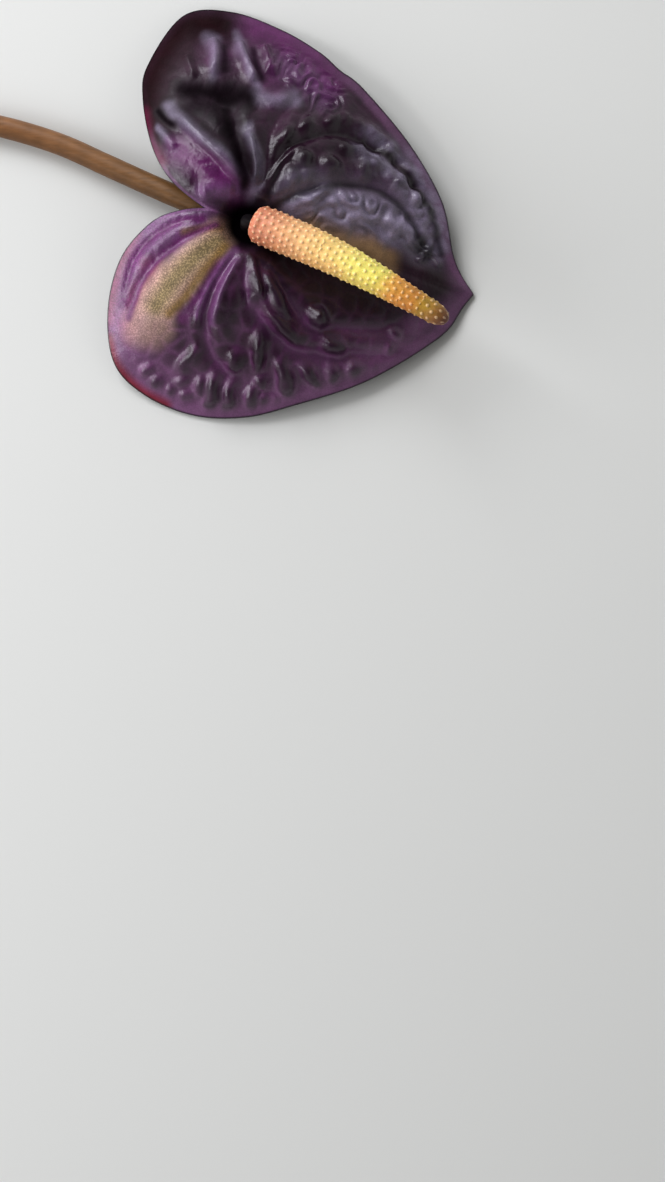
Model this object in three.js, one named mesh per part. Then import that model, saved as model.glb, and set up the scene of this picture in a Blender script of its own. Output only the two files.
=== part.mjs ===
// An anthurium flower, cut and laid on a table with the front of its spathe facing up.
// Millimetres, +Z up. The origin is on the table, under the middle of the flower's box.
//
// Every piece is drawn in the flower's own frame: +X along the midrib, from the base of the spathe to
// its tip, +Y across the blade, and z = 0 on the table. The group at the end turns and places the whole.
import * as THREE from 'three';

// Spathe: a thin leathery blade that swells up around a funnel at its base and droops to its margin.
const BASE_HEIGHT = 14; // of the blade's middle surface at the bottom of the funnel
const BLADE_THICKNESS = 1.1;
const FUNNEL_CENTRE = [2.5, -0.5]; // just in front of the base, under the spadix
const FUNNEL_FLOOR = 3.5; // radius of its flat bottom, which the stem and the spadix grow from
const FUNNEL_MOUTH = 9; // radius at which it has opened into the blade
const MIDRIB_CLIMB = 0.1; // how steeply the blade leaves the base along the midrib
const LOBE_CLIMB = 1.0; // and into the lobes
const LOBE_ANGLE = 65; // degrees from the midrib at which the lobes' full climb is reached
const MARGIN_FALL = 0.5; // how steeply the blade falls at its margin
const BLADE_STEPS_ROUND = 35; // on each side of the midrib
const BLADE_RINGS = [0.07, 0.15, 0.25, 0.36, 0.48, 0.6, 0.71, 0.81, 0.9, 0.96, 0.99];

// The margin of each lobe, from the tip round to the sinus: along, across, and height above the table.
const LEFT_MARGIN = [
  [68.5, 2.3, 0.4],
  [63.6, 6.3, 1.5],
  [59.4, 11.4, 3.0],
  [52.0, 24.1, 5.0],
  [38.3, 36.8, 5.5],
  [21.0, 48.0, 5.0],
  [13.2, 51.1, 4.3],
  [6.2, 54.4, 3.5],
  [-6.1, 57.7, 1.5],
  [-21.4, 58.6, 0.4],
  [-34.0, 53.2, 2.0],
  [-38.9, 36.0, 6.0],
  [-36.9, 25.8, 9.5],
  [-29.8, 13.1, 14.5],
  [-21.6, 5.4, 17.2],
  [-9.6, 0.2, 18.5],
];
const RIGHT_MARGIN = [
  [68.5, 2.3, 0.4],
  [66.7, -2.4, 0.8],
  [64.8, -9.2, 1.6],
  [60.5, -15.7, 2.5],
  [52.7, -24.9, 3.5],
  [43.5, -33.6, 4.0],
  [29.6, -43.2, 3.5],
  [17.1, -50.6, 1.8],
  [2.7, -54.5, 0.4],
  [-12.0, -53.3, 1.0],
  [-23.1, -47.4, 3.0],
  [-28.9, -33.8, 6.5],
  [-29.2, -19.3, 11.0],
  [-23.7, -8.1, 15.5],
  [-17.1, -3.0, 17.8],
  [-9.6, 0.2, 18.5],
];

// Spadix: a blunt, tapering spike on a short stalk that rises out of the funnel.
const STALK_FOOT = [2.3, -0.3, BASE_HEIGHT + 0.9];
const STALK_TOP = [2.6, 0.1, 20.0];
const STALK_RADIUS = 2.1;
const SPIKE_START = [3.6, 0.3, 22.0];
const SPIKE_BEND = [31.0, -3.4, 25.8];
const SPIKE_TIP = [63.4, -10.8, 29.0];
const SHOULDER_LENGTH = 2.6;
const TIP_LENGTH = 4.2;
const SPADIX_SIDES = 20;
// How far along the spike, from 0 to 1, and its radius there.
const SPIKE_RADII = [
  [0, 5.2], [0.12, 5.45], [0.3, 5.2], [0.5, 4.75], [0.68, 4.0], [0.82, 3.45], [0.92, 3.15], [1, 2.9],
];

// Stem: a smooth round stalk that leaves the back of the spathe, bends down and lies along the table.
const STEM_RADIUS_AT_CUT = 2.95;
const STEM_RADIUS_AT_SPATHE = 3.25;
const STEM_CUT_DIRECTION = [0.93, 0.37, 0]; // square to the cut at its far end
const STEM_STEPS = 48;
const STEM_SIDES = 14;
const STEM_ROUTE = [
  [-191, -29, 2.98],
  [-157, -14.5, 3.0],
  [-117, -0.5, 3.03],
  [-91, 5, 3.06],
  [-74, 7.4, 3.1],
  [-57, 7.6, 3.3],
  [-42, 5.8, 3.9],
  [-27, 3.8, 5.0],
  [-14, 2.2, 6.4],
  [-5.5, 0.9, 7.6],
  [0.4, 0.2, 9.8],
  [2, 0, BASE_HEIGHT - 0.9],
];

const MIDRIB_TURN = -17.4; // degrees from +X to the midrib, seen from above

function spline(points) {
  return new THREE.CatmullRomCurve3(points.map((p) => new THREE.Vector3(...p)), false, 'catmullrom', 0.5);
}

// Joins rings of equal length into one closed skin, with each end closed on its middle point.
function skin(rings) {
  const around = rings[0].length;
  const middle = (ring) => ring.reduce((sum, p) => sum.add(p), new THREE.Vector3()).divideScalar(around);
  const points = rings.flat().concat(middle(rings[0]), middle(rings.at(-1)));
  const first = rings.length * around;
  const last = first + 1;
  const faces = [];
  for (let k = 0; k < around; k += 1) {
    const next = (k + 1) % around;
    faces.push(first, next, k);
    for (let r = 0; r + 1 < rings.length; r += 1) {
      const [a, b] = [r * around + k, r * around + next];
      faces.push(a, b, b + around, a, b + around, a + around);
    }
    const end = (rings.length - 1) * around;
    faces.push(last, end + k, end + next);
  }
  const geometry = new THREE.BufferGeometry();
  geometry.setAttribute('position', new THREE.Float32BufferAttribute(points.flatMap((p) => p.toArray()), 3));
  geometry.setIndex(faces);
  geometry.computeVertexNormals();
  return geometry;
}

// The spathe's margin in one turn, from the sinus along the left lobe to the tip and back along the right.
const left = spline(LEFT_MARGIN);
const right = spline(RIGHT_MARGIN);

function marginAt(turn) {
  return (turn < 0.5 ? left : right).getPoint(Math.abs(1 - 2 * turn));
}

// The middle surface of the blade: reach runs from 0 at the base to 1 at the margin.
function bladeAt(turn, reach) {
  const rim = marginAt(turn);
  const radius = Math.hypot(rim.x, rim.y);
  const fromMidrib = THREE.MathUtils.radToDeg(Math.abs(Math.atan2(rim.y, rim.x)));
  const lobe = THREE.MathUtils.smoothstep(fromMidrib, 0, LOBE_ANGLE);
  const climb = THREE.MathUtils.lerp(MIDRIB_CLIMB, LOBE_CLIMB, lobe);
  const shoulder = BASE_HEIGHT + (climb * radius) / 3;
  const brim = rim.z + (MARGIN_FALL * radius) / 3;
  const rest = 1 - reach;
  const height = rest ** 3 * BASE_HEIGHT + 3 * rest ** 2 * reach * shoulder
    + 3 * rest * reach ** 2 * brim + reach ** 3 * rim.z;
  const [x, y] = [rim.x * reach, rim.y * reach];
  const fromFunnel = Math.hypot(x - FUNNEL_CENTRE[0], y - FUNNEL_CENTRE[1]);
  const open = THREE.MathUtils.smoothstep(fromFunnel, FUNNEL_FLOOR, FUNNEL_MOUTH);
  return new THREE.Vector3(x, y, THREE.MathUtils.lerp(BASE_HEIGHT, height, open));
}

function bladeNormal(turn, reach) {
  const step = 1e-3;
  const around = bladeAt((turn + step) % 1, reach).sub(bladeAt((turn - step + 1) % 1, reach));
  const outward = bladeAt(turn, reach).sub(bladeAt(turn, reach - step));
  return around.cross(outward).normalize();
}

function bladeRing(reach, side) {
  const ring = [];
  for (let k = 0; k < 2 * BLADE_STEPS_ROUND; k += 1) {
    const turn = k / (2 * BLADE_STEPS_ROUND);
    ring.push(bladeAt(turn, reach).addScaledVector(bladeNormal(turn, reach), (side * BLADE_THICKNESS) / 2));
  }
  return ring;
}

function spatheGeometry() {
  const front = BLADE_RINGS.map((reach) => bladeRing(reach, 1));
  const back = BLADE_RINGS.map((reach) => bladeRing(reach, -1)).reverse();
  return skin([...front, bladeRing(1, 0), ...back]);
}

// Rings of a round body along a path. Each station is a place, a direction and a radius.
function roundRings(stations, sides) {
  return stations.map(({ place, direction, radius }) => {
    const across = new THREE.Vector3(0, 1, 0).addScaledVector(direction, -direction.y).normalize();
    const up = direction.clone().cross(across);
    return Array.from({ length: sides }, (_, k) => {
      const angle = (2 * Math.PI * k) / sides;
      const spoke = across.clone().multiplyScalar(Math.cos(angle)).addScaledVector(up, Math.sin(angle));
      return place.clone().addScaledVector(spoke, radius);
    });
  });
}

// The value at a place on the straight lines through [place, value] pairs.
function graphAt(pairs, place) {
  const k = Math.max(1, pairs.findIndex(([at]) => at >= place));
  const [[at0, value0], [at1, value1]] = [pairs[k - 1], pairs[k]];
  return THREE.MathUtils.lerp(value0, value1, (place - at0) / (at1 - at0));
}

// The radius of a rounded end, from 0 at its pole to 1 where it meets the body.
function dome(part) {
  return Math.sqrt(1 - (1 - Math.min(part, 1)) ** 2);
}

function spadixGeometry() {
  const stalk = spline([STALK_FOOT, STALK_TOP]);
  const spike = spline([SPIKE_START, SPIKE_BEND, SPIKE_TIP]);
  const length = spike.getLength();
  const stations = [0, 0.5, 1].map((at) => ({
    place: stalk.getPoint(at),
    direction: stalk.getTangent(at),
    radius: STALK_RADIUS,
  }));
  stations[0].direction = new THREE.Vector3(0, 0, 1);
  const shoulder = [0.15, 0.35, 0.65, 1].map((part) => (part * SHOULDER_LENGTH) / length);
  const body = [0.14, 0.24, 0.34, 0.44, 0.54, 0.64, 0.73, 0.8, 0.86];
  const tip = [1, 0.75, 0.5, 0.28, 0.12, 0.03].map((part) => 1 - (part * TIP_LENGTH) / length);
  for (const at of [...shoulder, ...body, ...tip]) {
    const ends = Math.min(dome((at * length) / SHOULDER_LENGTH), dome(((1 - at) * length) / TIP_LENGTH));
    stations.push({
      place: spike.getPointAt(at),
      direction: spike.getTangentAt(at),
      radius: graphAt(SPIKE_RADII, at) * ends,
    });
  }
  return skin(roundRings(stations, SPADIX_SIDES));
}

function stemGeometry() {
  const route = spline(STEM_ROUTE);
  const stations = [];
  for (let k = 0; k <= STEM_STEPS; k += 1) {
    const at = k / STEM_STEPS;
    stations.push({
      place: route.getPoint(at),
      direction: route.getTangent(at),
      radius: THREE.MathUtils.lerp(STEM_RADIUS_AT_CUT, STEM_RADIUS_AT_SPATHE, at),
    });
  }
  stations[0].direction = new THREE.Vector3(...STEM_CUT_DIRECTION).normalize();
  stations[STEM_STEPS].direction = new THREE.Vector3(0, 0, 1);
  return skin(roundRings(stations, STEM_SIDES));
}

function piece(name, geometry, color, roughness) {
  const mesh = new THREE.Mesh(geometry, new THREE.MeshStandardMaterial({ color, roughness, metalness: 0 }));
  mesh.name = name;
  return mesh;
}

const flower = new THREE.Group();
flower.add(
  piece('spathe', spatheGeometry(), 0x3f1c3a, 0.35),
  piece('spadix', spadixGeometry(), 0xd9ab68, 0.6),
  piece('stem', stemGeometry(), 0x6e5030, 0.45),
);
flower.rotation.z = THREE.MathUtils.degToRad(MIDRIB_TURN);
flower.updateMatrixWorld(true);
const box = new THREE.Box3().setFromObject(flower, true);
const middle = box.getCenter(new THREE.Vector3());
flower.position.set(-middle.x, -middle.y, -box.min.z);

const part = new THREE.Group();
part.add(flower);
export default part;
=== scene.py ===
"""An anthurium flower lying on a pale table, seen from straight above.

Shapes are drawn in millimetres in the flower's own frame: +X along the midrib, from the base of the spathe
to its tip, +Y across the blade, and z = 0 on the table. place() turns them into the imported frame's metres.
"""
import math

import bpy
import numpy as np
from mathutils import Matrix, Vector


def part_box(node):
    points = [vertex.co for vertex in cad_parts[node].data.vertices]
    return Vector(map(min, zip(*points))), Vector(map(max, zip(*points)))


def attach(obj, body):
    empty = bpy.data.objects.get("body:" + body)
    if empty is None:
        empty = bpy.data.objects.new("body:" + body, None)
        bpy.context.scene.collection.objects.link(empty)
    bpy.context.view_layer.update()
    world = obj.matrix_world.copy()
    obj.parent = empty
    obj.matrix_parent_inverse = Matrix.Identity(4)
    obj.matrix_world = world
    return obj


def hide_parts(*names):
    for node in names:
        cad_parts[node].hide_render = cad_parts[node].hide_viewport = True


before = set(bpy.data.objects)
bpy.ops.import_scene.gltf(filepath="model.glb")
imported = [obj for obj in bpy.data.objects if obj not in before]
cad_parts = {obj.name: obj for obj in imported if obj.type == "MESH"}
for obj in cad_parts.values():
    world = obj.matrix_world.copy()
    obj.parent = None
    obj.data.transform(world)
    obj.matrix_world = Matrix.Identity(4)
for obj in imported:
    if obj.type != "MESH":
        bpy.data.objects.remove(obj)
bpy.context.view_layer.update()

MM = 0.001

# --- The spathe's large shape, as in the CAD part ---------------------------------------------------

BASE_HEIGHT = 14
BLADE_THICKNESS = 1.1
FUNNEL_CENTRE = (2.5, -0.5)
FUNNEL_FLOOR = 3.5
FUNNEL_MOUTH = 9
MIDRIB_CLIMB = 0.1
LOBE_CLIMB = 1.0
LOBE_ANGLE = math.radians(65)
MARGIN_FALL = 0.5
MIDRIB_TURN = math.radians(-17.4)

# The margin of each lobe, from the tip round to the sinus: along, across, and height above the table.
LEFT_MARGIN = [
    (68.5, 2.3, 0.4), (63.6, 6.3, 1.5), (59.4, 11.4, 3.0), (52.0, 24.1, 5.0), (38.3, 36.8, 5.5),
    (21.0, 48.0, 5.0), (13.2, 51.1, 4.3), (6.2, 54.4, 3.5), (-6.1, 57.7, 1.5), (-21.4, 58.6, 0.4),
    (-34.0, 53.2, 2.0), (-38.9, 36.0, 6.0), (-36.9, 25.8, 9.5), (-29.8, 13.1, 14.5), (-21.6, 5.4, 17.2),
    (-9.6, 0.2, 18.5),
]
RIGHT_MARGIN = [
    (68.5, 2.3, 0.4), (66.7, -2.4, 0.8), (64.8, -9.2, 1.6), (60.5, -15.7, 2.5), (52.7, -24.9, 3.5),
    (43.5, -33.6, 4.0), (29.6, -43.2, 3.5), (17.1, -50.6, 1.8), (2.7, -54.5, 0.4), (-12.0, -53.3, 1.0),
    (-23.1, -47.4, 3.0), (-28.9, -33.8, 6.5), (-29.2, -19.3, 11.0), (-23.7, -8.1, 15.5),
    (-17.1, -3.0, 17.8), (-9.6, 0.2, 18.5),
]


def spline(points, at):
    """Points on the Catmull-Rom curve through a list of points, at places from 0 to 1 along it."""
    points = np.asarray(points, float)
    padded = np.vstack([2 * points[0] - points[1], points, 2 * points[-1] - points[-2]])
    spans = len(points) - 1
    place_on = np.clip(np.asarray(at, float), 0, 1) * spans
    k = np.minimum(place_on.astype(int), spans - 1)
    t = (place_on - k)[..., None]
    p0, p1, p2, p3 = padded[k], padded[k + 1], padded[k + 2], padded[k + 3]
    v1, v2 = (p2 - p0) / 2, (p3 - p1) / 2
    return (2 * p1 - 2 * p2 + v1 + v2) * t**3 + (-3 * p1 + 3 * p2 - 2 * v1 - v2) * t**2 + v1 * t + p1


def smoothstep(low, high, value):
    t = np.clip((value - low) / (high - low), 0, 1)
    return t * t * (3 - 2 * t)


def margin(turn):
    """The margin from the sinus along the left lobe to the tip and back along the right."""
    from_tip = np.abs(1 - 2 * turn)
    return np.where((turn < 0.5)[..., None], spline(LEFT_MARGIN, from_tip), spline(RIGHT_MARGIN, from_tip))


def blade(turn, reach):
    """The blade's middle surface: reach runs from 0 at the base to 1 at the margin."""
    x, y, z = np.moveaxis(margin(turn), -1, 0)
    radius = np.hypot(x, y)
    lobe = smoothstep(0, LOBE_ANGLE, np.abs(np.arctan2(y, x)))
    climb = MIDRIB_CLIMB + (LOBE_CLIMB - MIDRIB_CLIMB) * lobe
    shoulder = BASE_HEIGHT + climb * radius / 3
    brim = z + MARGIN_FALL * radius / 3
    rest = 1 - reach
    # a cubic curve from the base out to the margin, with its two handles a third of the way from each end
    height = rest**3 * BASE_HEIGHT + 3 * rest**2 * reach * shoulder
    height = height + 3 * rest * reach**2 * brim + reach**3 * z
    x, y = x * reach, y * reach
    opened = smoothstep(FUNNEL_FLOOR, FUNNEL_MOUTH, np.hypot(x - FUNNEL_CENTRE[0], y - FUNNEL_CENTRE[1]))
    return np.stack([x, y, BASE_HEIGHT + (height - BASE_HEIGHT) * opened], -1)


def turned(points):
    c, s = math.cos(MIDRIB_TURN), math.sin(MIDRIB_TURN)
    x, y, z = np.moveaxis(np.asarray(points, float), -1, 0)
    return np.stack([c * x - s * y, s * x + c * y, z], -1) * MM


def place(points):
    """Flower-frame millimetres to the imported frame's metres."""
    return turned(points) + SHIFT


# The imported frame's origin is under the middle of the whole flower, so the spathe's own box gives the shift.
RIM = turned(blade(np.linspace(0, 1, 2001), np.ones(2001)))
SHIFT = np.mean(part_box("spathe"), axis=0) - (RIM.min(0) + RIM.max(0)) / 2
SHIFT[2] = 0

# --- The spathe's relief ----------------------------------------------------------------------------

# Sunken veins: how deep, how wide, and the route of each.
VEINS = [
    (0.9, 1.7, [(5, 5), (6, 12), (6.5, 21), (9, 25), (13, 29), (19, 32), (28, 32), (39, 28), (49, 20),
                (56, 10)]),
    (0.9, 1.8, [(7, 6), (13, 11), (19, 15.5), (25, 18.5), (34, 20), (43, 17), (50, 11)]),
    (0.7, 1.5, [(3, 7), (2.5, 17), (1.5, 25), (2.5, 32), (6, 38)]),
    (0.8, 1.6, [(1, 7), (-4, 16), (-9, 25), (-13, 31)]),
    (0.6, 1.4, [(-1, 6), (-9, 12), (-19, 17), (-28, 22)]),
    (0.7, 1.4, [(3, -8), (0, -14), (-1, -20), (-1.5, -27), (0, -32), (3, -37), (8, -40), (13, -40)]),
    (0.8, 1.6, [(5, -8), (8, -17), (11, -22), (16, -26), (24, -29), (32, -28), (40, -25), (50, -22),
                (59, -13)]),
    (0.7, 1.5, [(7, -7), (12, -13.5), (20, -17.5), (26, -21), (34, -20), (44, -17), (54, -12)]),
    (0.6, 1.5, [(-6, -3.5), (-13, -10), (-18, -16), (-21, -22), (-22, -28), (-22, -34)]),
    (0.4, 1.3, [(-10, -3), (-16, -6), (-22, -12), (-25, -18), (-25.5, -25), (-25, -31)]),
]

# Raised blisters: along, across, length, width, turn in degrees from the midrib, and height.
BLISTERS = [
    # right lobe, the row along the margin
    (6, -47, 9.5, 3.5, -85, 0.9), (11, -47, 7.5, 3.5, -85, 0.9), (17.5, -45.5, 6, 3, -80, 0.7),
    (21, -45, 4, 2, -75, 0.5), (24, -44, 3.5, 2, -75, 0.4), (24.5, -37, 9, 3.5, -60, 1),
    (31, -34, 8, 3, -35, 0.8),
    (37, -32, 5, 2.5, -65, 0.6), (42, -29, 4, 4, 0, 0.6), (47.5, -27, 2.5, 2.5, -15, 0.4),
    (-3, -40.5, 8, 3, 60, 0.5), (-3.5, -46.5, 3, 2.5, 60, 0.4), (-10, -49, 3.5, 2.5, 70, 0.5),
    (-13.5, -46.5, 3.5, 2.5, 70, 0.4), (-6, -50, 3, 2.5, 70, 0.4), (-1, -50, 3, 2.5, 65, 0.4),
    (2, -46, 4, 3, 85, 0.5),
    # right lobe, between the veins
    (15.5, -32.5, 9.5, 3.5, -80, 0.9), (18.5, -40, 3.5, 3, -60, 0.6), (10, -37, 5, 3.5, 80, 0.6),
    (28.5, -19, 5, 5, -25, 1.1), (34.5, -24.5, 7, 3.5, -5, 0.9), (16, -17, 10, 3, -45, 1),
    (20.5, -24.5, 10.5, 3.5, -25, 0.9), (9.5, -17, 8.5, 3, -65, 0.6), (50, -15.5, 3, 2.5, -10, 0.4),
    (50, -20, 2.5, 2.5, -15, 0.4), (4, -25, 14, 6.5, -75, 0.6),
    # left lobe, the row along the margin and around the bowl
    (-0.5, 47, 3, 2, -65, 0.5),
    (3, 46, 3.5, 2, -75, 0.5), (1, 42, 2.5, 2, -65, 0.4), (6.5, 45, 3.5, 2.5, -60, 0.4),
    (-24, 28, 5, 2, -20, 0.4),
    # left half, outside the first vein
    (6, 26.5, 4.5, 3.5, -75, 0.7), (9.5, 30.5, 4, 3.5, -75, 0.7), (15.5, 34.5, 3.5, 3, -70, 0.5),
    (19, 36.5, 2.5, 2.5, -65, 0.4), (23.5, 36.5, 3, 2.5, -65, 0.4), (27.5, 36, 3.5, 2.5, -55, 0.4),
    # left half, between the veins and out to the margin
    (12, 21, 4.5, 3.5, -60, 0.9), (19, 22, 4.5, 4, -50, 1), (10.5, 16, 4, 2.5, -50, 0.5),
    (13.5, 17, 3, 3, -50, 0.5),
    (21.5, 28.5, 3.5, 2.5, -65, 0.5), (28, 24.5, 4.5, 3, -65, 0.7), (26.5, 29, 3.5, 3.5, -30, 0.6),
    (33.5, 31.5, 3.5, 3.5, -30, 0.7), (30.5, 27.5, 3.5, 3, -45, 0.5), (38.5, 25, 4.5, 4, 45, 0.9),
    (40, 28.5, 2.5, 2.5, 60, 0.5), (45, 22, 5, 3, 65, 0.9), (48.5, 20, 3.5, 3, 65, 0.8),
    (52, 17, 3.5, 2.5, 80, 0.6),
    (37.5, 19, 9, 4.5, 0, 0.4), (40.5, 13, 4.5, 3.5, -5, 0.5), (31, 13.5, 7.5, 5, -15, 0.4),
    (45, 12.5, 4.5, 3, -40, 0.5),
    (44.5, 9.5, 4, 2.5, -5, 0.4), (40, 8, 4, 2.5, -15, 0.4),
    # long swells that fan out from the base
    (17, 12.5, 11, 2.2, 40, 0.8),
]

# Raised ridges: how high, half how wide, and the route of each.
RIDGES = [
    # left lobe: three folds across the top, then the long ones that run down to the base
    (2.4, 1.7, [(-24, 48.5), (-21, 43), (-19, 37)]),
    (2.2, 1.5, [(-17.5, 51), (-13.5, 45), (-10.5, 41.5), (-7, 38)]),
    (1.9, 1.5, [(-10, 51), (-7, 47), (-4, 42)]),
    (1.2, 0.9, [(-29, 41.5), (-26.5, 38), (-24, 34.5)]),
    (2.1, 2.0, [(-28, 25), (-21.5, 21), (-16, 18), (-8.5, 14), (-3, 11), (1, 8)]),
    (1.8, 1.3, [(-5.5, 24), (-2, 19), (0.4, 15), (2.2, 10)]),
    (1.3, 1.5, [(-30, 18.5), (-25.5, 16), (-22, 13)]),
    (1.0, 1.0, [(5, 10), (6.3, 17.5), (8.5, 22.5), (11.5, 25)]),
    (0.8, 2.4, [(-6, 35), (-1, 35), (4, 37)]),
    (1.4, 2.6, [(-13, 4), (-8, 6), (-3, 7)]),
    # right lobe: two thin ones beside the curved vein, and the long ones beyond it
    (0.8, 1.0, [(1.5, -8), (-0.5, -14), (-2.3, -21), (-3, -28), (-2, -34)]),
    (0.7, 0.9, [(3.5, -9), (1.8, -17), (0.9, -24), (1.5, -30)]),
    (0.7, 1.0, [(6, -8), (9.5, -14), (13, -19.5), (19, -23)]),
    # three short ones in the pit near the tip
    (1.5, 0.9, [(50, 5), (52, 9), (52.5, 13)]),
    (1.3, 0.8, [(46, 11), (49, 10), (52, 9)]),
    (1.3, 0.8, [(51, 9.5), (54, 8.5), (57, 6)]),
]

# Hollows: along, across, radius and depth.
HOLLOWS = [(-22, 31.5, 4.5, 1.8), (-13.5, 32, 5.5, 2.6), (-9, 22, 3.5, 1.0), (51.5, 9.5, 3.6, 2.0)]

MIDRIB = [(6, -1), (26, 2), (46, 1.5), (67, 1)]
MIDRIB_DEPTH = 0.5
MIDRIB_WIDTH = 1.3

# A vein's groove, and the low swell on each side of it, as shares of the vein's own depth and width.
GROOVE_DEPTH = 1.2
SWELL_HEIGHT = 0.5
SWELL_AWAY = 2.4
SWELL_WIDTH = 1.4

# Blisters and the shallow moats round them, in mm, with what is added on the lower half.
BLISTER_HEIGHT = 1.9
BLISTER_EXTRA = 0.9
BLISTER_SKIRT = 0.4
MOAT_DEPTH = 0.05
MOAT_EXTRA = 0.1
MOAT_AWAY = 1.6
MOAT_SPREAD = 0.12

PILLOW_SIZE = 4.6
PILLOW_HEIGHT = 0.12
WAVE_SIZE = 9
WAVE_HEIGHT = 0.25
LATTICE = 64  # random values along each side of a noise pattern, after which it repeats
FAR_OFF = 1e9


def grid_noise(x, y, cell, seed):
    """Smooth value noise from -1 to 1, with bumps about one cell wide."""
    lattice = np.random.default_rng(seed).uniform(-1, 1, (LATTICE, LATTICE))
    gx, gy = x / cell + 100, y / cell + 100
    ix, iy = np.floor(gx).astype(int), np.floor(gy).astype(int)
    fx, fy = smoothstep(0, 1, gx - ix), smoothstep(0, 1, gy - iy)
    left, right = ix % LATTICE, (ix + 1) % LATTICE
    low, high = iy % LATTICE, (iy + 1) % LATTICE
    a, b = lattice[left, low], lattice[right, low]
    c, d = lattice[left, high], lattice[right, high]
    return (a * (1 - fx) + b * fx) * (1 - fy) + (c * (1 - fx) + d * fx) * fy


def warped(x, y, amount, cell, seed):
    """The same places, each moved by up to that many mm of slow noise."""
    return x + amount * grid_noise(x, y, cell, seed), y + amount * grid_noise(x, y, cell, seed + 1)


def distance_to_route(x, y, route):
    """Distance in the plane from each point to a smooth route, and how far along it the nearest place is."""
    steps = 60
    path = spline(route, np.linspace(0, 1, steps))
    best = np.full(x.shape, FAR_OFF)
    where = np.zeros(x.shape)
    for k in range(steps - 1):
        (ax, ay), (bx, by) = path[k], path[k + 1]
        ux, uy = bx - ax, by - ay
        along = np.clip(((x - ax) * ux + (y - ay) * uy) / (ux * ux + uy * uy), 0, 1)
        d = np.hypot(x - ax - along * ux, y - ay - along * uy)
        nearer = d < best
        best = np.where(nearer, d, best)
        where = np.where(nearer, (k + along) / (steps - 1), where)
    return best, where


def puckers(x, y, cell, seed):
    """Small pillows with narrow creases between them, from 0 in a crease to 1 on a pillow."""
    x = x + 0.9 * grid_noise(x, y, 5, seed + 1)
    y = y + 0.9 * grid_noise(x, y, 5, seed + 2)
    jitter = np.random.default_rng(seed).uniform(0.1, 0.9, (LATTICE, LATTICE, 2))
    ix, iy = np.floor(x / cell).astype(int), np.floor(y / cell).astype(int)
    first = np.full(x.shape, FAR_OFF)
    second = np.full(x.shape, FAR_OFF)
    for dx in (-1, 0, 1):
        for dy in (-1, 0, 1):
            cx, cy = ix + dx, iy + dy
            spot = jitter[cx % LATTICE, cy % LATTICE]
            d = np.hypot(x / cell - cx - spot[..., 0], y / cell - cy - spot[..., 1])
            second = np.minimum(second, np.maximum(first, d))
            first = np.minimum(first, d)
    return smoothstep(0, 0.45, second - first)


def veins_in(x, y):
    """What the veins add to the height, and how deep in a groove each point lies, from 0 to 1."""
    rise = np.zeros(x.shape)
    crease = np.zeros(x.shape)
    for depth, width, route in VEINS:
        d, along = distance_to_route(x, y, route)
        fade = smoothstep(0, 0.12, along) * (1 - smoothstep(0.8, 1, along))
        groove = np.exp(-((d / width) ** 2)) * fade
        swell = np.exp(-(((d - SWELL_AWAY * width) / (SWELL_WIDTH * width)) ** 2)) * fade
        rise += -GROOVE_DEPTH * depth * groove + SWELL_HEIGHT * depth * swell
        crease = np.maximum(crease, groove)
    return rise, crease


def ridges_on(x, y):
    """What the ridges add to the height. Each fades in and out at its ends."""
    rise = np.zeros(x.shape)
    for height, width, route in RIDGES:
        d, along = distance_to_route(x, y, route)
        fade = smoothstep(0, 0.2, along) * (1 - smoothstep(0.8, 1, along))
        rise += height * np.exp(-((d / width) ** 2)) * fade
    return rise


def blisters_on(x, y):
    """The domes of the blisters and the moats round them, each from 0 to about 1."""
    bumps = np.zeros(x.shape)
    moat = np.zeros(x.shape)
    wx, wy = warped(x, y, 0.7, 3.4, 71)
    for bx, by, length, width, angle, height in BLISTERS:
        c, s = math.cos(math.radians(angle)), math.sin(math.radians(angle))
        u = ((wx - bx) * c + (wy - by) * s) / (length / 2 + BLISTER_SKIRT)
        v = (-(wx - bx) * s + (wy - by) * c) / (width / 2 + BLISTER_SKIRT)
        q = u * u + v * v
        bumps = np.maximum(bumps, height * np.exp(-(q**1.5)))
        moat = np.maximum(moat, height * np.exp(-((np.sqrt(q) - MOAT_AWAY) ** 2) / MOAT_SPREAD))
    return bumps, moat


def relief(turn, reach, x, y):
    """How far the front stands proud in mm, its creases and blisters, and the way in from the margin."""
    radius = np.hypot(*np.moveaxis(margin(turn), -1, 0)[:2])
    inset = (1 - reach) * radius
    lower = smoothstep(-4, -14, y)
    midrib, _ = distance_to_route(x, y, MIDRIB)
    beside = smoothstep(3, 9, midrib)
    pillow = puckers(x, y, PILLOW_SIZE, 11)
    rise, crease = veins_in(x, y)
    bumps, moat = blisters_on(x, y)
    rise += ridges_on(x, y)
    rise += (BLISTER_HEIGHT + BLISTER_EXTRA * lower) * bumps
    rise -= (MOAT_DEPTH + MOAT_EXTRA * lower) * moat * (1 - np.clip(bumps, 0, 1))
    rise += PILLOW_HEIGHT * (pillow - 0.6) * beside * (1 - olive_patch(x, y))
    rise += worms(x, y)
    for hx, hy, size, depth in HOLLOWS:
        rise -= depth * np.exp(-(((x - hx) ** 2 + (y - hy) ** 2) / size**2))
    rise -= MIDRIB_DEPTH * np.exp(-((midrib / MIDRIB_WIDTH) ** 2))
    rise += WAVE_HEIGHT * grid_noise(x, y, WAVE_SIZE, 21)
    crease = np.maximum(crease, 0.5 * (1 - pillow) * beside)
    # flat along the margin and round the funnel
    allowed = smoothstep(1.5, 6, inset) * smoothstep(5, 13, np.hypot(x, y))
    return rise * allowed, crease, bumps, inset


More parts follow.
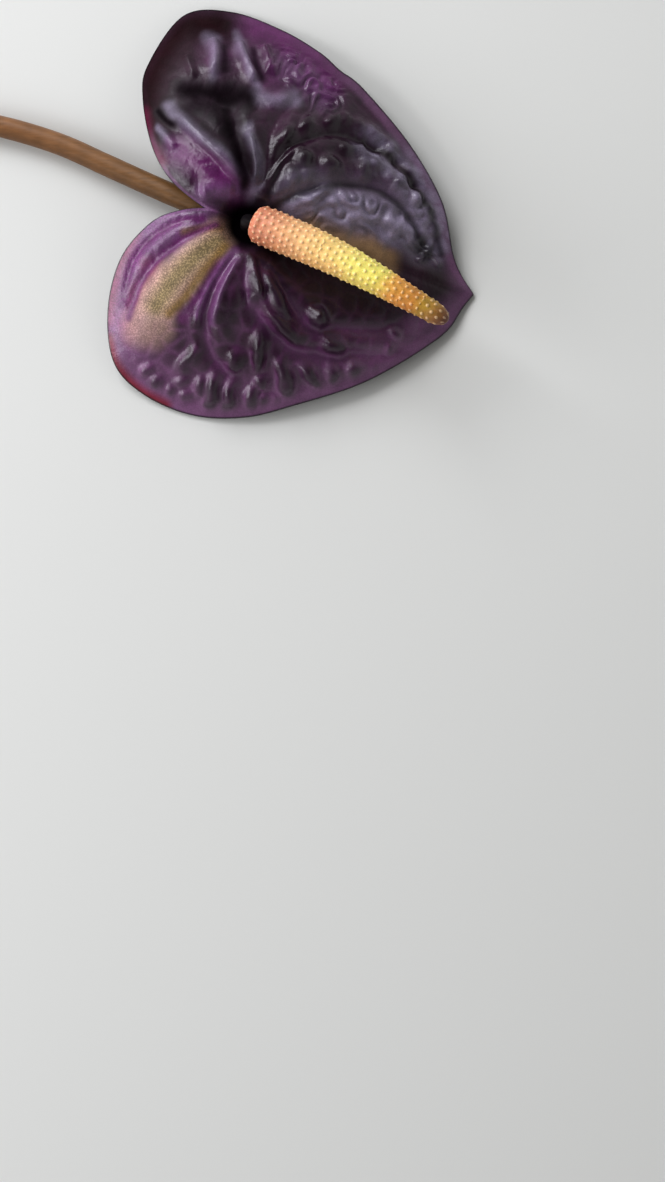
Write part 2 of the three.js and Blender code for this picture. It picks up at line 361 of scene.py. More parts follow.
def worms(x, y):
    """Low winding ridges: broad in the far quarter of the left half, and pitted along the left lobe's row."""
    swirl = np.sin(7 * grid_noise(x, y, 5.5, 41) + 2.5 * grid_noise(x, y, 2.6, 42))
    far = near(x, y, [(24, 10), (36, 12), (46, 14), (47, 22), (40, 28), (30, 31)], 6, 0.6)
    pits = near(x, y, [(-2, 47), (6, 45), (14, 40)], 5, 0.6)
    return 0.55 * swirl * far + 0.5 * np.sin(9 * grid_noise(x, y, 3.6, 43)) * pits


def near(x, y, route, width, soft=0.5):
    """1 along a route and 0 beyond its width, with an edge as soft as asked."""
    d, _ = distance_to_route(x, y, route)
    return 1 - smoothstep(width * (1 - soft), width * (1 + soft), d)


def olive_patch(x, y):
    """The smooth, pale patch on the right lobe: 1 inside it and 0 outside."""
    wx, wy = warped(x, y, 1.2, 5, 75)
    d, along = distance_to_route(wx, wy, [(-4, -6), (-8, -14), (-12, -22), (-15, -29), (-16, -34)])
    width = 4.2 + 2 * along
    return (1 - smoothstep(0.4 * width, 1.5 * width, d)) * (1 - 0.35 * smoothstep(0.7, 1, along))


# --- Mesh helpers -----------------------------------------------------------------------------------


def ring_mesh(name, rings, **attributes):
    """A closed mesh from rings of equal length, with each end closed on its middle point.

    Each attribute holds a number or a colour for every ring point.
    """
    rings = np.asarray(rings, float)
    count, around = rings.shape[:2]

    def with_ends(values):
        flat = values.reshape(count * around, -1)
        return np.vstack([flat, values[0].reshape(around, -1).mean(0), values[-1].reshape(around, -1).mean(0)])

    points = with_ends(rings)
    k = np.arange(around)
    after = (k + 1) % around
    r = np.arange(count - 1)[:, None] * around
    quads = np.stack([r + k, r + after, r + after + around, r + k + around], -1).reshape(-1, 4)
    first, last = count * around, count * around + 1
    end = (count - 1) * around
    caps = np.vstack([np.stack([np.full(around, first), after, k], -1),
                      np.stack([np.full(around, last), end + k, end + after], -1)])
    mesh = bpy.data.meshes.new(name)
    mesh.vertices.add(len(points))
    mesh.vertices.foreach_set("co", place(points).ravel())
    loops = np.concatenate([quads.ravel(), caps.ravel()])
    mesh.loops.add(len(loops))
    mesh.loops.foreach_set("vertex_index", loops)
    starts = np.concatenate([np.arange(len(quads)) * 4, len(quads) * 4 + np.arange(len(caps)) * 3])
    mesh.polygons.add(len(starts))
    mesh.polygons.foreach_set("loop_start", starts)
    mesh.polygons.foreach_set("use_smooth", np.ones(len(starts), bool))
    mesh.update(calc_edges=True)
    for key, values in attributes.items():
        values = with_ends(np.asarray(values, float))
        if values.shape[1] == 1:
            layer = mesh.attributes.new(key, "FLOAT", "POINT")
            layer.data.foreach_set("value", values.ravel())
        else:
            layer = mesh.attributes.new(key, "FLOAT_COLOR", "POINT")
            layer.data.foreach_set("color", np.hstack([values, np.ones((len(values), 1))]).ravel())
    obj = bpy.data.objects.new(name, mesh)
    bpy.context.scene.collection.objects.link(obj)
    return obj


def surface_normals(points):
    """Normals of a grid of rings that runs outward from the base, clockwise seen from above."""
    around = np.roll(points, -1, 1) - np.roll(points, 1, 1)
    outward = np.gradient(points, axis=0)
    normal = np.cross(around, outward)
    return normal / np.linalg.norm(normal, axis=-1, keepdims=True)


def srgb(r, g, b):
    """A colour given from 0 to 255 as seen on a screen, as the linear values that shaders take."""
    c = np.array([r, g, b]) / 255
    return np.where(c <= 0.04045, c / 12.92, ((c + 0.055) / 1.055) ** 2.4)


def blend(base, over, mask):
    return base * (1 - mask[..., None]) + np.asarray(over) * mask[..., None]


# --- Spathe -----------------------------------------------------------------------------------------

AROUND = 540
FRONT_RINGS = 140
BACK_RINGS = 42

CHARCOAL = srgb(32, 13, 27)
VIOLET = srgb(88, 42, 78)
MAGENTA = srgb(98, 32, 92)
LILAC = srgb(126, 84, 128)
MAUVE = srgb(122, 82, 118)
PINK = srgb(132, 64, 90)
RED = srgb(122, 16, 38)
MAROON = srgb(32, 4, 10)
# painted highlight and sheen: a grey laid on the folds' crests and over the far part of the left half
PAINTED_SHEEN = srgb(148, 138, 160)
OLIVE = srgb(122, 108, 70)
BEIGE = srgb(192, 160, 144)
GOLD = srgb(118, 92, 30)
SHADE_PLUM = srgb(16, 4, 12)
BLACK = srgb(6, 3, 6)
WINE = srgb(96, 22, 54)
TAN = srgb(156, 126, 90)

BACK_SKIN = srgb(44, 20, 40)
BACK_CREASE = srgb(92, 52, 78)
BACK_RIB = srgb(120, 96, 66)
BACK_DULLNESS = 0.3
BACK_SHARE = 0.7  # how much of the front's relief shows on the back
RIB_ROUTE = [(2, 0), (25, 2), (46, 2), (66, 2)]
RIB_WIDTH = 1.6
RIB_HEIGHT = 1.1

# Strokes laid over the skin in turn: colour, strength, route, half width, softness from 0 to 1, and whether
# slow noise bends the stroke.
PINK_STROKES = [
    (PINK, 0.6, [(-19, -20), (-21, -28), (-21, -37)], 3, 1, True),
    (PINK, 0.8, [(-28, -12), (-30, -22), (-29, -36)], 2.6, 0.7, False),
]
RIGHT_LOBE_STROKES = [
    # olive and gold in the pale patch, with one more gold line above it
    (OLIVE, 0.85, [(-4, -8), (-8, -14), (-12, -21), (-15, -29)], 2.6, 0.9, False),
    (GOLD, 0.75, [(-1.5, -9), (-5, -17), (-8, -25), (-11, -30)], 1.3, 0.9, False),
    (GOLD, 0.6, [(-5, -4), (-9, -6), (-13, -8)], 1.2, 0.9, False),
    # thin lines beside the curved vein, and along the two veins of the lilac side
    (MAGENTA, 0.6, [(-1, -14), (-3, -22), (-7, -30)], 1.6, 0.9, False),
    (LILAC, 0.65, [(1.5, -9), (-0.5, -14), (-2.3, -21), (-3, -28)], 1.1, 0.9, False),
    (LILAC, 0.5, [(3, -11), (1.5, -17), (0.8, -24), (1, -29)], 0.9, 0.9, False),
    (MAGENTA, 0.85, VEINS[-2][2], 1, 0.9, False),
    (MAGENTA, 0.85, VEINS[-1][2], 1, 0.9, False),
    # the red stretch of the margin
    (RED, 0.9, [(-26.5, -41), (-23, -47), (-15, -52), (-6, -54)], 1.6, 0.9, False),
]
LEFT_LOBE_STROKES = [
    # magenta and lilac along the top
    (MAGENTA, 0.8, [(-12, 56), (-5, 54), (4, 50), (10, 46)], 5, 1, True),
    (LILAC, 0.45, [(-2, 46), (5, 44), (11, 41)], 4, 0.9, False),
    (MAGENTA, 0.45, [(-20, 44), (-12, 45), (-6, 42), (-2, 38)], 4.5, 1, True),
    # painted highlights: grey laid along the crests of the folds
    (PAINTED_SHEEN, 0.5, RIDGES[0][2], 1.6, 1, True),
    (PAINTED_SHEEN, 0.5, RIDGES[1][2], 1.3, 1, True),
    (PAINTED_SHEEN, 0.5, RIDGES[4][2], 1.5, 1, True),
    (PAINTED_SHEEN, 0.5, RIDGES[5][2], 1.2, 1, True),
    (PAINTED_SHEEN, 0.5, RIDGES[6][2], 0.9, 1, True),
    (PAINTED_SHEEN, 0.5, RIDGES[8][2], 2, 1, True),
    (PAINTED_SHEEN, 0.5, [(10, 9), (17, 12), (22, 15)], 1.2, 1, True),
    # the fold beside the sinus, in magenta with a painted lilac highlight along its crest, and the outer
    # margin
    (MAGENTA, 0.8, [(-21, 13.5), (-12, 10.5), (-4, 8)], 4, 0.8, False),
    (LILAC, 0.7, [(-12, 4.5), (-8, 6), (-3.5, 7)], 1.8, 0.9, False),
    (WINE, 0.8, [(-35, 21), (-31.5, 14), (-26, 9)], 2, 0.9, False),
]
TIP_STROKES = [
    # painted shade: dark plum along the grooves of the first two veins
    (SHADE_PLUM, 0.75, VEINS[0][2], 0.9, 1, False),
    (SHADE_PLUM, 0.75, VEINS[1][2], 0.9, 1, False),
    # a dull olive strip beside the midrib, then maroon out to the tip
    (TAN, 0.75, [(19, 5.5), (31, 4.5), (43, 3)], 2.6, 1, True),
    (MAROON, 0.4, [(46, 5), (54, 3), (60, 2)], 4, 0.9, False),
    (MAUVE, 0.6, [(56, -12), (63, -5), (66, 2), (62, 8)], 3.5, 0.9, False),
    # painted shade: black in the pit near the tip
    (BLACK, 0.8, [(50, 10), (52, 9)], 2.4, 0.9, False),
]

# Painted shade: where the left lobe is painted nearly black, in its bowl, down towards the base and in the
# creases between its folds: strength, route and half width.
SHADED_PLACES = [
    (1, [(-25, 31), (-19, 32), (-13, 33), (-9, 33)], 3.6),
    (0.8, [(-21, 28), (-15, 27), (-11, 25)], 4),
    (0.9, [(-13, 28), (-9.5, 22), (-5.5, 17), (-1, 10)], 2.6),
    (1, [(-30, 22.5), (-26, 20.5)], 1.3),
    (0.75, [(-19.5, 47), (-17.5, 43.5), (-16, 39)], 1.1),
    (0.75, [(-11.5, 48), (-8.5, 44), (-6, 40.5)], 1.1),
]


def stroked(color, strokes, x, y, bent):
    """The colour with each stroke of a list laid over it in turn; bent holds the places moved by noise."""
    for over, strength, route, width, soft, bends in strokes:
        px, py = bent if bends else (x, y)
        color = blend(color, over, strength * near(px, py, route, width, soft))
    return color


def ground_color(x, y, crease, bumps, inset):
    """The skin under the strokes: charcoal, and more violet in creases, on the lower half and at the rim."""
    color = np.broadcast_to(CHARCOAL, x.shape + (3,))
    cloud = smoothstep(-0.6, 0.8, grid_noise(x, y, 10, 31))
    lower = smoothstep(-2, -14, y + 0.1 * x)
    groove = np.clip(crease, 0, 1)
    color = blend(color, VIOLET, 0.25 * cloud + 0.25 * lower)
    color = blend(color, VIOLET, groove * (0.25 + 0.65 * lower))
    color = blend(color, LILAC, 0.35 * groove * lower)
    color = blend(color, MAUVE, 0.7 * lower * (1 - smoothstep(4, 18, inset)))
    color = blend(color, CHARCOAL, 0.75 * smoothstep(0.15, 0.6, bumps))
    # painted shadow and shade: charcoal laid in the strip just below the spadix
    color = blend(color, CHARCOAL, 0.7 * near(x, y, [(12, -6), (26, -8), (42, -8)], 8, 0.8))
    return blend(color, MAUVE, 0.6 * (1 - smoothstep(2, 4, inset)))


def spathe_colors(x, y, crease, bumps, inset):
    """The front's colour, and how speckled and how dull it is, each from 0 to 1."""
    bent = warped(x, y, 1.1, 4.5, 73)
    color = ground_color(x, y, crease, bumps, inset)
    # the right lobe's lilac and pink side, with its pale patch
    side = near(x, y, [(-12, -4), (-20, -8), (-26, -17), (-27, -28), (-25, -37)], 6, 0.7)
    patch = olive_patch(x, y)
    color = blend(color, LILAC, 0.6 * side)
    color = stroked(color, PINK_STROKES, x, y, bent)
    color = blend(color, BEIGE, 0.85 * patch)
    color = stroked(color, RIGHT_LOBE_STROKES, x, y, bent)
    # the left lobe: maroon at its outer side, darkened nearly to black as painted shade, magenta along the
    # top, painted grey highlights on the folds, and painted black shade in the bowl
    # partly painted shade: the lobe's maroon outer side, taken nearly to black where it curls away from the
    # light
    outer_band = near(*bent, [(-36, 20), (-38, 36), (-33, 48), (-25, 54)], 7.5, 1)
    color = blend(color, MAROON, 0.95 * outer_band)
    color = stroked(color, LEFT_LOBE_STROKES, x, y, bent)
    # painted shade: the bowl and the creases between the folds laid nearly black
    dark = np.zeros(x.shape)
    for strength, route, width in SHADED_PLACES:
        dark = np.maximum(dark, strength * near(*bent, route, width, 1))
    color = blend(color, SHADE_PLUM, dark)
    # painted sheen: a grey reflection laid over the far part of the left half
    color = blend(color, PAINTED_SHEEN, 0.85 * near(*bent, [(16, 10), (30, 12.5), (43, 13)], 6.5, 0.9))
    sheen = near(*bent, [(53, 12), (48, 21), (40, 28), (30, 31)], 5, 0.9)
    color = blend(color, PAINTED_SHEEN, 0.8 * sheen * (1 - crease))
    color = stroked(color, TIP_STROKES, x, y, bent)
    # black in the funnel as painted shade, over the darker skin the flower has there, and along the very edge
    # as the margin's own dark line
    funnel = np.hypot(x - FUNNEL_CENTRE[0], y - FUNNEL_CENTRE[1])
    color = blend(color, BLACK, 1 - smoothstep(4.5, 8.5, funnel))
    color = blend(color, BLACK, 0.95 * (1 - smoothstep(0.3, 0.9, inset)))
    dull = np.max([1 - smoothstep(5, 10, funnel), 0.6 * patch, 0.95 * dark, 0.9 * outer_band], axis=0)
    return color, np.maximum(patch, 0.5 * side), dull


def reaches(count):
    """Ring places from the base to the margin, closer together towards the margin."""
    return 0.995 - 0.98 * (1 - np.linspace(0, 1, count)) ** 1.2


def blade_rings(count):
    """The blade's middle surface in that many rings, its normals, and its relief."""
    turn, reach = np.meshgrid(np.arange(AROUND) / AROUND, reaches(count))
    middle = blade(turn, reach)
    return middle, surface_normals(middle), relief(turn, reach, middle[..., 0], middle[..., 1])


def spathe_front():
    middle, normals, (rise, crease, bumps, inset) = blade_rings(FRONT_RINGS)
    points = middle + normals * (BLADE_THICKNESS / 2 + rise)[..., None]
    return points, *spathe_colors(middle[..., 0], middle[..., 1], crease, bumps, inset)


def spathe_back():
    middle, normals, (rise, crease, _, _) = blade_rings(BACK_RINGS)
    away, along = distance_to_route(middle[..., 0], middle[..., 1], RIB_ROUTE)
    rib = np.exp(-((away / RIB_WIDTH) ** 2)) * (1 - smoothstep(0.45, 0.95, along))
    sunk = BACK_SHARE * rise - BLADE_THICKNESS / 2 - RIB_HEIGHT * rib
    color = blend(np.broadcast_to(BACK_SKIN, middle.shape), BACK_CREASE, 0.7 * crease)
    return middle + normals * sunk[..., None], blend(color, BACK_RIB, rib)


def build_spathe():
    front, tint, speckle, dull = spathe_front()
    back, back_tint = spathe_back()
    edge = blade(np.arange(AROUND) / AROUND, np.ones(AROUND))[None]
    edge_tint = np.broadcast_to(BLACK, (1, AROUND, 3))
    none = np.zeros((BACK_RINGS + 1, AROUND))
    back_dull = np.full((BACK_RINGS, AROUND), BACK_DULLNESS)
    return ring_mesh(
        "anthurium_spathe",
        np.concatenate([front, edge, back[::-1]]),
        tint=np.concatenate([tint, edge_tint, back_tint[::-1]]),
        speckle=np.concatenate([speckle, none]),
        dull=np.concatenate([dull, none[:1], back_dull]),
    )


# --- Spadix and stem --------------------------------------------------------------------------------

STALK_FOOT = (2.3, -0.3, BASE_HEIGHT + 0.9)
STALK_TOP = (2.6, 0.1, 20.0)
STALK_RADIUS = 2.1
SPIKE_START = (3.6, 0.3, 22.0)
SPIKE_BEND = (31.0, -3.4, 25.8)
SPIKE_TIP = (63.4, -10.8, 29.0)
SPIKE_RADII = [(0, 5.2), (0.12, 5.45), (0.3, 5.2), (0.5, 4.75), (0.68, 4.0), (0.82, 3.45),
               (0.92, 3.15), (1, 2.9)]
SHOULDER_LENGTH = 2.6
TIP_LENGTH = 4.2
BEAD_SPACING = 2.2
BEAD_RADIUS = 0.42
BEAD_HEIGHT = 0.28
BEAD_INSET = 0.22
BEAD_CROWN = 1.15  # a crown's radius as a share of the bead's
BEAD_ROW_SHARE = 0.87  # the gap between rows as a share of the bead spacing
BEAD_ROW_TURN = 0.63  # how far round each row stands from the last, in beads
BEAD_WOBBLE = 0.16
SKIRT_RADIUS = 0.9
SKIRT_HEIGHT = 0.12
BEAD_SIZES = [(0, 0.7), (0.06, 1), (0.8, 0.9), (1, 0.6)]  # along the spike
STALK_RINGS = 6
STALK_PART = -1.0  # stands for the stalk where the spike's parts run from 0 to 1
# painted shade: the stalk is near-black, so that it sinks into the dark funnel
STALK_SHADE_TINT = srgb(9, 3, 6)
SPIKE_RINGS = 420
SPIKE_SIDES = 232

STEM_CUT_RADIUS = 2.95
STEM_NECK_RADIUS = 3.25
STEM_ROUTE = [
    (-191, -29, 2.98), (-157, -14.5, 3.0), (-117, -0.5, 3.03), (-91, 5, 3.06), (-74, 7.4, 3.1),
    (-57, 7.6, 3.3),
    (-42, 5.8, 3.9), (-27, 3.8, 5.0), (-14, 2.2, 6.4), (-5.5, 0.9, 7.6), (0.4, 0.2, 9.8),
    (2, 0, BASE_HEIGHT - 0.9),
]
STEM_STEPS = 300
STEM_SIDES = 56
STEM_FIT = 0.985  # keeps the round stem inside its faceted CAD solid
STEM_TINTS = [(0, srgb(146, 102, 72)), (0.7, srgb(124, 90, 52)), (0.93, srgb(92, 68, 36))]
STEM_SHADE = np.array([0.32, 0.4, 0.6])  # taken off its underside in red, green and blue


def ring_frame(direction):
    """Two unit vectors across a direction: one near the flower's +Y, and one at right angles to it."""
    direction = direction / np.linalg.norm(direction, axis=-1, keepdims=True)
    across = np.array([0, 1, 0]) - direction * direction[..., 1:2]
    across = across / np.linalg.norm(across, axis=-1, keepdims=True)
    return across, np.cross(direction, across)


def dome(part):
    """How full a rounded end is, from 0 at its pole to 1 where the straight side begins."""
    return np.sqrt(1 - (1 - np.minimum(part, 1)) ** 2)


def even_places(route, count):
    """Spline places that lie at even distances along a route, with the distance of each."""
    fine = np.linspace(0, 1, 2000)
    path = spline(route, fine)
    run = np.concatenate([[0], np.cumsum(np.linalg.norm(np.diff(path, axis=0), axis=1))])
    wanted = np.linspace(0, run[-1], count)
    return np.interp(wanted, run, fine), wanted


def tube(route, places, radii, angles):
    """Rings of the given radii round a route; radii may differ round each ring too."""
    centre = spline(route, places)
    ahead = spline(route, np.minimum(places + 1e-4, 1)) - spline(route, np.maximum(places - 1e-4, 0))
    across, up = ring_frame(ahead)
    way = across[:, None] * np.cos(angles)[..., None] + up[:, None] * np.sin(angles)[..., None]
    return centre[:, None] + way * radii[..., None]


def distance_to_bead(along, angle, radius):
    """How far each point on the spike is from the middle of the nearest bead, in mm."""
    row_gap = BEAD_SPACING * BEAD_ROW_SHARE
    row = np.floor(along / row_gap)
    best = np.full(along.shape, FAR_OFF)
    wobble = np.random.default_rng(5).uniform(-BEAD_WOBBLE, BEAD_WOBBLE, (200, 32, 2))
    count = 2 * np.round(np.maximum(np.round(2 * math.pi * radius / BEAD_SPACING), 6) / 2)
    for k in (-1, 0, 1):
        this_row = row + k
        turn = angle / (2 * math.pi) * count + this_row * BEAD_ROW_TURN
        for j in (-1, 0, 1):
            cell = np.floor(turn) + j
            shift = wobble[this_row.astype(int) % 200, (cell % count).astype(int) % 32]
            dv = (turn - cell - 0.5 + shift[..., 0]) * BEAD_SPACING
            du = along - (this_row + 0.5) * row_gap + shift[..., 1] * BEAD_SPACING
            best = np.minimum(best, np.hypot(du, dv))
    return best


def spike_rings():
    """The spike's rings, and for each point its part of the length, its angle, and how much it is bead."""
    route = [SPIKE_START, SPIKE_BEND, SPIKE_TIP]
    places, run = even_places(route, SPIKE_RINGS)
    length = run[-1]
    run = run[:, None] * np.ones(SPIKE_SIDES)
    part = run / length
    body = np.interp(part, *zip(*SPIKE_RADII))
    full = np.minimum(dome(run / SHOULDER_LENGTH), dome((length - run) / TIP_LENGTH))
    angles = np.broadcast_to(2 * math.pi * np.arange(SPIKE_SIDES) / SPIKE_SIDES, run.shape)
    away = distance_to_bead(run, angles, body)
    crown = np.sqrt(np.clip(1 - (away / (BEAD_RADIUS * BEAD_CROWN)) ** 2, 0, 1))
    skirt = np.exp(-((away / SKIRT_RADIUS) ** 2))
    lift = (BEAD_HEIGHT * crown + SKIRT_HEIGHT * skirt) * np.interp(part, *zip(*BEAD_SIZES)) - BEAD_INSET
    lift += 0.06 * grid_noise(run, angles * 5, 1.4, 51)
    radii = np.maximum(body * full + lift * np.sqrt(full), 0.02)
    return tube(route, places, radii, angles), part, angles, np.clip(crown * 1.3, 0, 1)


def build_spadix():
    spike, part, angles, bead = spike_rings()
    shape = (STALK_RINGS, SPIKE_SIDES)
    stalk = tube([STALK_FOOT, STALK_TOP, SPIKE_START], np.linspace(0, 0.5, STALK_RINGS),
                 np.full(shape, STALK_RADIUS), np.broadcast_to(angles[0], shape))
    rings = np.concatenate([stalk, spike])
    part = np.concatenate([np.full(shape, STALK_PART), part])
    bead = np.concatenate([np.zeros(shape), bead])
    under = np.concatenate([np.zeros(shape), -np.cos(angles)])
    return ring_mesh("anthurium_spadix", rings, tint=spadix_colors(part, under, rings), bead=bead)


SPADIX_TINTS = [
    (0.0, srgb(196, 124, 98)), (0.1, srgb(212, 148, 114)), (0.26, srgb(238, 192, 136)),
    (0.42, srgb(240, 208, 132)),
    (0.52, srgb(240, 226, 128)), (0.64, srgb(232, 220, 116)), (0.72, srgb(226, 170, 84)),
    (0.8, srgb(196, 136, 62)),
    (0.88, srgb(172, 138, 52)), (0.95, srgb(150, 108, 56)), (1.0, srgb(118, 76, 56)),
]


def spadix_colors(part, under, rings):
    stops, tints = zip(*SPADIX_TINTS)
    patchy = part + 0.025 * grid_noise(rings[..., 0], 3 * rings[..., 1], 4, 61)
    color = np.stack([np.interp(patchy, stops, [t[k] for t in tints]) for k in range(3)], -1)
    # painted shade: the −Y side, away from the light, is darkened, less in red, so that it also turns redder
    color = color * (1 - 0.22 * smoothstep(0.1, 1, under)[..., None] * np.array([0.5, 1, 1.2]))
    return blend(color, STALK_SHADE_TINT, (part < 0.001).astype(float))


def build_stem():
    places = np.linspace(0, 1, STEM_STEPS)
    radii = STEM_CUT_RADIUS + (STEM_NECK_RADIUS - STEM_CUT_RADIUS) * places
    angles = np.broadcast_to(2 * math.pi * np.arange(STEM_SIDES) / STEM_SIDES, (STEM_STEPS, STEM_SIDES))
    shape = radii[:, None] * (1 + 0.012 * np.cos(5 * angles + 4 * places[:, None]))
    rings = tube(STEM_ROUTE, places, shape * STEM_FIT, angles)
    stops, tints = zip(*STEM_TINTS)
    color = np.stack([np.interp(places, stops, [t[k] for t in tints]) for k in range(3)], -1)
    under = smoothstep(-0.2, 1, -np.cos(angles))[..., None] * STEM_SHADE
    color = np.broadcast_to(color[:, None], rings.shape) * (1 - under)
    return ring_mesh("anthurium_stem", rings, tint=color)


# --- Materials --------------------------------------------------------------------------------------


class Shader:
    """A short way to write a node material."""

    def __init__(self, name):
        self.material = bpy.data.materials.new(name)
        self.material.use_nodes = True
        self.tree = self.material.node_tree
        self.surface = self.tree.nodes["Principled BSDF"]

    def node(self, kind, settings=None, **inputs):
        made = self.tree.nodes.new(kind)
        for key, value in (settings or {}).items():
            setattr(made, key, value)
        for key, value in inputs.items():
            self.put(made, key.replace("_", " "), value)
        return made

    def put(self, made, key, value):
        socket = made.inputs[int(key)] if key.isdigit() else made.inputs[key]
        if isinstance(value, bpy.types.NodeSocket):
            self.tree.links.new(value, socket)
        else:
            socket.default_value = value

    def set(self, **inputs):
        for key, value in inputs.items():
            self.put(self.surface, key.replace("_", " "), value)

    def math(self, operation, a, b=0.0, c=0.0):
        made = self.node("ShaderNodeMath", {"operation": operation})
        for k, value in enumerate((a, b, c)):
            self.put(made, str(k), value)
        return made.outputs[0]

    def noise(self, scale, detail=3, rough=0.5, vector=None):
        made = self.node("ShaderNodeTexNoise", Scale=scale, Detail=detail, Roughness=rough)
        self.tree.links.new(vector or self.coords(), made.inputs["Vector"])
        return made.outputs["Fac"]

    def coords(self):
        return self.node("ShaderNodeTexCoord").outputs["Object"]

    def remap(self, value, low, high, to_low, to_high):
        made = self.node("ShaderNodeMapRange")
        for k, v in enumerate((value, low, high, to_low, to_high)):
            self.put(made, str(k), v)
        return made.outputs[0]

    def vary(self, noise, low, high):
        """A noise stretched so that most of it runs from low to high."""
        return self.remap(noise, 0.3, 0.7, low, high)

    def mix(self, factor, color, plain):
        """A colour socket mixed with one plain colour."""
        made = self.node("ShaderNodeMix", {"data_type": "RGBA"})
        for key, value in (("0", factor), ("6", color), ("7", (*plain, 1))):
            self.put(made, key, value)
        return made.outputs[2]

    def attribute(self, name, output="Color"):
        return self.node("ShaderNodeAttribute", {"attribute_name": name}).outputs[output]

    def bump(self, height, strength, distance, normal=None):
        made = self.node("ShaderNodeBump", Strength=strength, Distance=distance, Height=height)
        if normal:
            self.tree.links.new(normal, made.inputs["Normal"])
        return made.outputs["Normal"]


def scaled_tint(m, factor):
    """The painted colour, made lighter or darker by a factor."""
    made = m.node("ShaderNodeVectorMath", {"operation": "SCALE"})
    m.tree.links.new(m.attribute("tint"), made.inputs[0])
    m.tree.links.new(factor, made.inputs["Scale"])
    return made.outputs[0]


def spathe_material():
    m = Shader("spathe_skin")
    dull = m.attribute("dull", "Fac")
    mottle = m.vary(m.noise(220, 4), 0.82, 1.18)
    grain = m.vary(m.noise(2600, 2), 0.85, 1.15)
    dots = m.remap(m.noise(2200, 1), 0.42, 0.68, 0.74, 1.5)
    dotted = m.math("MULTIPLY_ADD", m.math("SUBTRACT", dots, 1.0), m.attribute("speckle", "Fac"), 1.0)
    shade = m.math("MULTIPLY", m.math("MULTIPLY", mottle, grain), dotted)
    rough = m.math("ADD", m.vary(m.noise(350, 3), 0.28, 0.38), m.math("MULTIPLY", dull, 0.4))
    pores = m.bump(m.noise(1500, 3, 0.6), 0.25, 0.0003)
    wrinkles = m.bump(m.noise(420, 3), 0.3, 0.0006, pores)
    m.set(Base_Color=scaled_tint(m, shade), Roughness=rough, Normal=wrinkles, Specular_IOR_Level=0.55)
    # the dull places also reflect less
    m.tree.links.new(m.math("SUBTRACT", 1.0, dull), m.surface.inputs["Specular Tint"])
    return m.material


def spadix_material():
    m = Shader("spadix_flesh")
    shade = m.math("MULTIPLY", m.vary(m.noise(500, 3), 0.88, 1.12), m.vary(m.noise(3000, 2), 0.9, 1.1))
    paler = m.math("MULTIPLY", m.attribute("bead", "Fac"), 0.4)
    m.set(Base_Color=m.mix(paler, scaled_tint(m, shade), srgb(246, 216, 176)),
          Roughness=m.vary(m.noise(700, 2), 0.38, 0.5),
          Normal=m.bump(m.noise(2600, 3), 0.25, 0.0002), Subsurface_Weight=0.15, Subsurface_Scale=0.002)
    m.surface.inputs["Subsurface Radius"].default_value = (1, 0.5, 0.2)
    return m.material


def stem_material():
    m = Shader("stem_skin")
    stretch = m.node("ShaderNodeMapping")
    m.tree.links.new(m.coords(), stretch.inputs["Vector"])
    stretch.inputs["Scale"].default_value = (0.12, 1, 1)
    streaks = m.noise(1400, 4, 0.6, stretch.outputs[0])
    shade = m.math("MULTIPLY", m.vary(streaks, 0.8, 1.2), m.vary(m.noise(160, 3), 0.85, 1.15))
    m.set(Base_Color=scaled_tint(m, shade), Roughness=m.vary(streaks, 0.36, 0.5),
          Normal=m.bump(streaks, 0.2, 0.0002))
    return m.material


# --- Pieces -----------------------------------------------------------------------------------------


def add_piece(piece, node, material):
    piece.data.materials.append(material)
    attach(piece, "root")
    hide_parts(node)


add_piece(build_spathe(), "spathe", spathe_material())
add_piece(build_spadix(), "spadix", spadix_material())
add_piece(build_stem(), "stem", stem_material())

# --- Camera, light and table ------------------------------------------------------------------------

CAMERA_HEIGHT = 612
CAMERA_FROM_BASE = (25.77, -102.8)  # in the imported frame's X and Y, from the base of the spathe
CAMERA_FIELD = math.radians(30.84)
VIEW_GAMMA = 0.85  # deepens the darks
VIEW_EXPOSURE = 0.14
TABLE_HALF = 4
TABLE_TINT = (0.7, 0.7, 0.675, 1)
LIGHT_TINT = (0.95, 0.96, 1)


def link(name, data):
    obj = bpy.data.objects.new(name, data)
    bpy.context.scene.collection.objects.link(obj)
    return obj


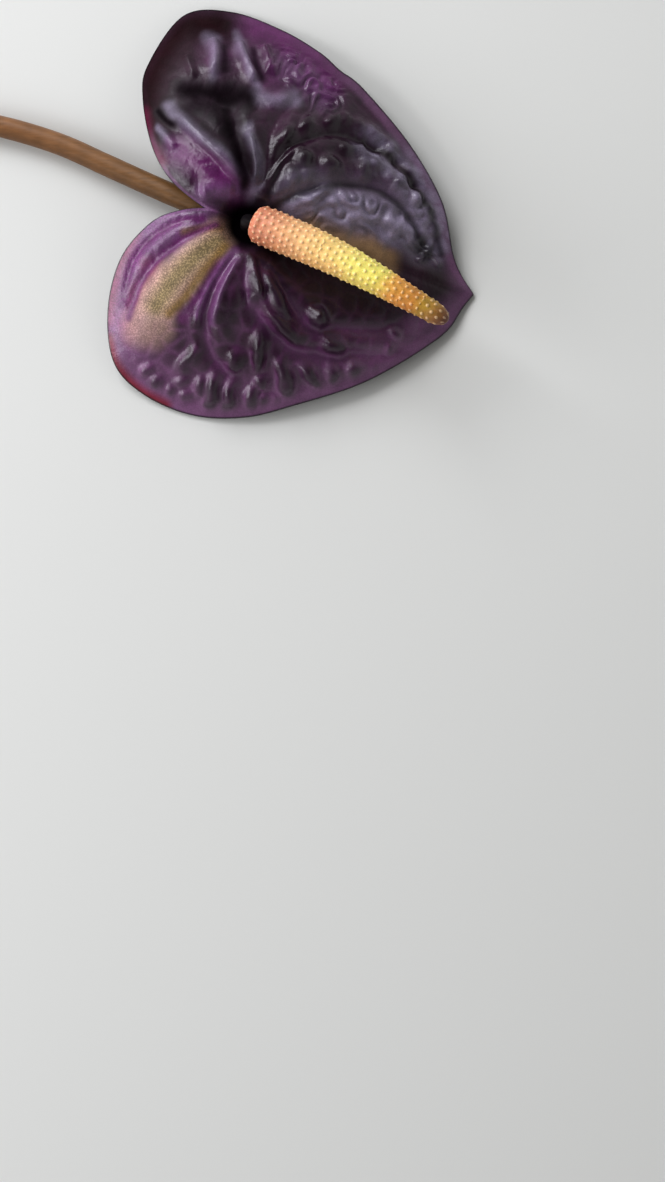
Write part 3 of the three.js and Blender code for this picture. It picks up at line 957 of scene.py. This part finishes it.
def add_camera():
    data = bpy.data.cameras.new("camera")
    data.angle = CAMERA_FIELD
    camera = link("camera", data)
    camera.location = SHIFT + np.array([*CAMERA_FROM_BASE, CAMERA_HEIGHT]) * MM
    bpy.context.scene.camera = camera


def add_table():
    data = bpy.data.meshes.new("table")
    corners = [(TABLE_HALF * x, TABLE_HALF * y, 0) for x, y in ((-1, -1), (1, -1), (1, 1), (-1, 1))]
    data.from_pydata(corners, [], [(0, 1, 2, 3)])
    m = Shader("table_top")
    m.set(Base_Color=TABLE_TINT, Roughness=0.8)
    data.materials.append(m.material)
    link("table", data)


def add_area_light(name, place_at, size, watts):
    """A rectangular light in metres, aimed at the middle of the flower."""
    data = bpy.data.lights.new(name, "AREA")
    data.shape = "RECTANGLE"
    data.size, data.size_y = size
    data.energy = watts
    data.color = LIGHT_TINT
    light = link(name, data)
    light.location = place_at
    way = -np.array(place_at)
    light.rotation_euler = (math.acos(-way[2] / np.linalg.norm(way)), 0, math.atan2(-way[0], way[1]))


def add_world():
    """A soft white surround, dimmer overhead, so that dark skin keeps its depth seen from above."""
    world = bpy.data.worlds.new("studio")
    bpy.context.scene.world = world
    world.use_nodes = True
    nodes, links = world.node_tree.nodes, world.node_tree.links
    split = nodes.new("ShaderNodeSeparateXYZ")
    links.new(nodes.new("ShaderNodeTexCoord").outputs["Generated"], split.inputs[0])
    fade = nodes.new("ShaderNodeMapRange")
    links.new(split.outputs["Z"], fade.inputs["Value"])
    for key, value in (("From Min", 0.45), ("From Max", 0.9), ("To Min", 0.6), ("To Max", 0.06)):
        fade.inputs[key].default_value = value
    links.new(fade.outputs[0], nodes["Background"].inputs["Strength"])
    nodes["Background"].inputs["Color"].default_value = (1, 1, 1, 1)


view = bpy.context.scene.view_settings
view.view_transform = "Standard"
view.gamma = VIEW_GAMMA
view.exposure = VIEW_EXPOSURE
add_camera()
add_table()
add_world()
add_area_light("window", (-0.55, 0.75, 0.8), (0.9, 0.7), 13)
add_area_light("side_window", (-0.9, -0.15, 0.5), (0.8, 0.55), 7.5)
